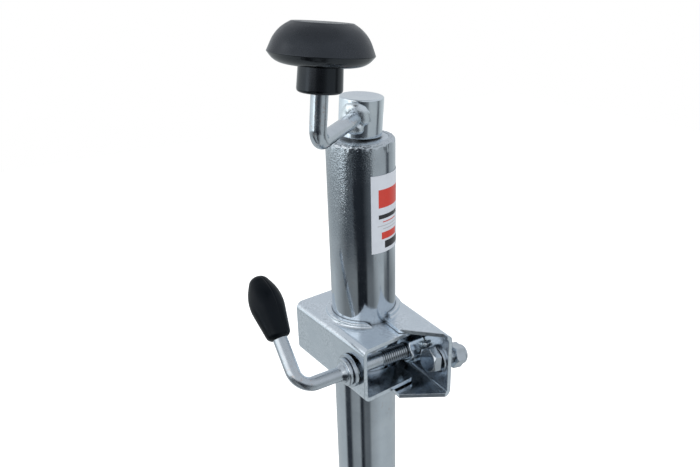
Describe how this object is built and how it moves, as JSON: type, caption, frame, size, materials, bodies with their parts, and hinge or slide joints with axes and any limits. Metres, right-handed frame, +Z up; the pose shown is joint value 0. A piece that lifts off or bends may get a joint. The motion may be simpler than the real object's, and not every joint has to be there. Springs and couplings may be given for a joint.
{
  "type": "jockey wheel",
  "caption": "Trailer jockey wheel: a cranked screw jack in a round post with a castor wheel, held on the drawbar by a hinged pressed clamp with a locking lever.",
  "frame": {"origin": "middle of the flat face of the fixed jaw that lies against the drawbar, at half the clamp's height", "axes": "+Z up along the post, +X out of the mounting face towards the drawbar, -Y towards the end of the clamp that holds the locking lever"},
  "size_m": [0.1366, 0.2143, 0.7106],
  "materials": {
    "zinc_sheet": "bright zinc plating on pressed sheet, satin",
    "zinc_tube": "bright zinc plating on drawn tube, long vertical streaks",
    "zinc_bright": "bright zinc plating, glossy",
    "bearing_steel": "plain steel, greased",
    "cage_brass": "plain",
    "label_white": "white film with a plain red band, no text",
    "black_plastic": "satin black",
    "black_nylon": "matt black",
    "rim_steel": "zinc plated, satin",
    "tyre_rubber": "matt black"
  },
  "bodies": {
    "clamp": {"fixed_jaw": "zinc_sheet", "hinge_pin": "zinc_bright", "clamp_nut": "zinc_bright", "mounting_bolt": "zinc_bright", "mounting_washer": "zinc_bright", "mounting_nut": "zinc_bright"},
    "moving_jaw": {"moving_jaw": "zinc_sheet"},
    "clamp_washer": {"clamp_washer": "zinc_bright"},
    "lever": {"lever_rod": "zinc_bright", "lever_grip": "black_plastic"},
    "post": {"outer_tube": "zinc_tube", "top_plate": "zinc_bright", "upper_race": "bearing_steel", "ball_cage": "cage_brass", "thrust_balls": "bearing_steel", "label": "label_white", "guide_bush": "black_nylon"},
    "crank": {"spindle": "bearing_steel", "lower_race": "bearing_steel", "stop_washer": "bearing_steel", "stop_pin": "bearing_steel", "crank_hub": "zinc_bright", "cross_pin": "zinc_bright", "crank_rod": "zinc_bright", "weld_bead": "zinc_bright"},
    "knob": {"knob": "black_plastic", "knob_cap": "black_plastic", "knob_ring": "bearing_steel"},
    "leg": {"inner_tube": "zinc_tube", "spindle_nut": "bearing_steel", "leg_plug": "zinc_bright", "pivot_washer": "zinc_bright", "pivot_ring": "bearing_steel"},
    "fork": {"fork": "zinc_sheet", "swivel_washer": "black_nylon", "axle_bolt": "zinc_bright", "axle_nut": "zinc_bright", "axle_washer_right": "zinc_bright", "axle_washer_left": "zinc_bright"},
    "wheel": {"tyre": "tyre_rubber", "rim_half_right": "rim_steel", "rim_half_left": "rim_steel", "rim_rivets": "rim_steel", "wheel_hub": "rim_steel", "wheel_bush_right": "black_nylon", "wheel_bush_left": "black_nylon"}
  },
  "joints": [
    {"name": "post_slide", "type": "slide", "parent": "clamp", "child": "post", "axis": [0, 0, 1], "range_m": [-0.048, 0.12]},
    {"name": "crank_turn", "type": "hinge", "parent": "post", "child": "crank", "pos_m": [-0.03, 0, 0.158], "axis": [0, 0, -1], "range_deg": [-4940, 11690]},
    {"name": "leg_slide", "type": "slide", "parent": "post", "child": "leg", "axis": [0, 0, -1], "range_m": [-0.055, 0.13]},
    {"name": "fork_swivel", "type": "hinge", "parent": "leg", "child": "fork", "pos_m": [-0.03, 0, -0.262], "axis": [0, 0, 1], "continuous": true},
    {"name": "wheel_spin", "type": "hinge", "parent": "fork", "child": "wheel", "pos_m": [-0.03, 0.032, -0.37235], "axis": [1, 0, 0], "continuous": true},
    {"name": "knob_spin", "type": "hinge", "parent": "crank", "child": "knob", "pos_m": [-0.09007, -0.05285, 0.17147], "axis": [0.0986, -0.0024, 0.9951], "continuous": true},
    {"name": "lever_turn", "type": "hinge", "parent": "clamp_washer", "child": "lever", "pos_m": [-0.0735, -0.0346, 0], "axis": [-1, 0, 0], "range_deg": [0, 1080]},
    {"name": "screw_travel", "type": "slide", "parent": "clamp", "child": "clamp_washer", "axis": [-1, 0, 0], "range_m": [0, 0.0053]},
    {"name": "jaw_hinge", "type": "hinge", "parent": "clamp", "child": "moving_jaw", "pos_m": [-0.029, 0.0345, 0], "axis": [0, 0, -1], "range_deg": [0, 4.4]}
  ],
  "couplings": [
    {"joint": "leg_slide", "follows": "crank_turn", "m_per_rad": 0.00063662},
    {"joint": "screw_travel", "follows": "lever_turn", "m_per_rad": 0.00027852},
    {"joint": "jaw_hinge", "follows": "lever_turn", "ratio": 0.0040307}
  ]
}
